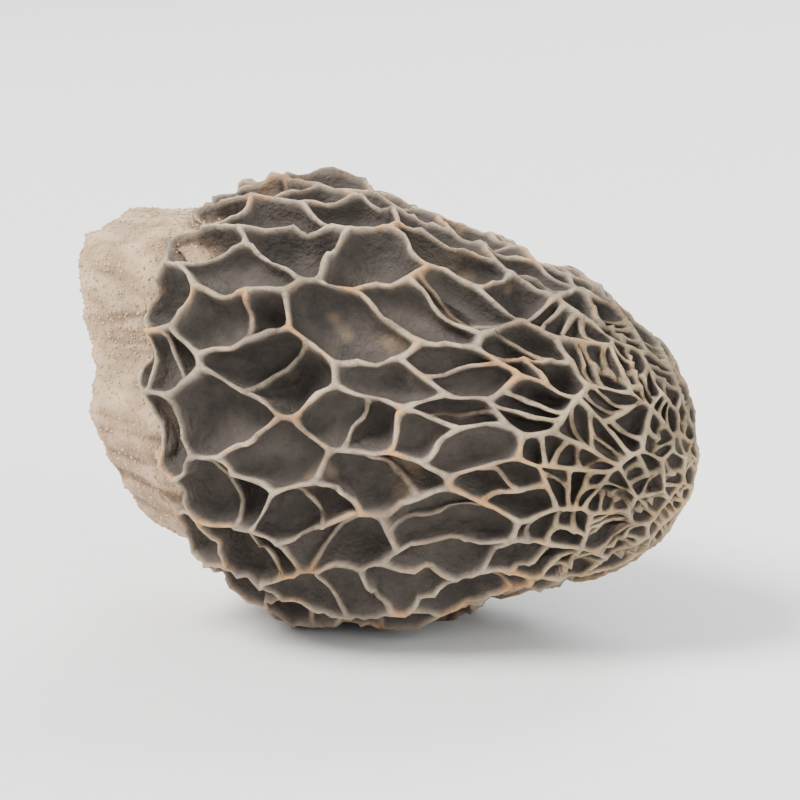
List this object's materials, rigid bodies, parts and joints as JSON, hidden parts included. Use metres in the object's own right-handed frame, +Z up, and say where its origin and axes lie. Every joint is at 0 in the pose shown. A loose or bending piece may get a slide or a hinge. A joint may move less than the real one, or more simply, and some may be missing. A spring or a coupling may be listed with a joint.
{
  "type": "dried morel mushroom",
  "caption": "Dried morel mushroom: a hollow cap of thin pale ridges round deep dark pits, on the short lobed stub of its stem, lying on its side.",
  "frame": {"origin": "on the surface that the morel lies on, under the middle of its box", "axes": "+X along the morel from its cut stem to the tip of its cap, +Y across it, +Z up"},
  "size_m": [0.0298, 0.0244, 0.0218],
  "materials": {
    "morel_flesh": "dry matte, dark grey-brown in the pits, pale beige on the ridges, tan on the stem"
  },
  "bodies": {
    "root": {"morel": "morel_flesh"}
  },
  "joints": []
}
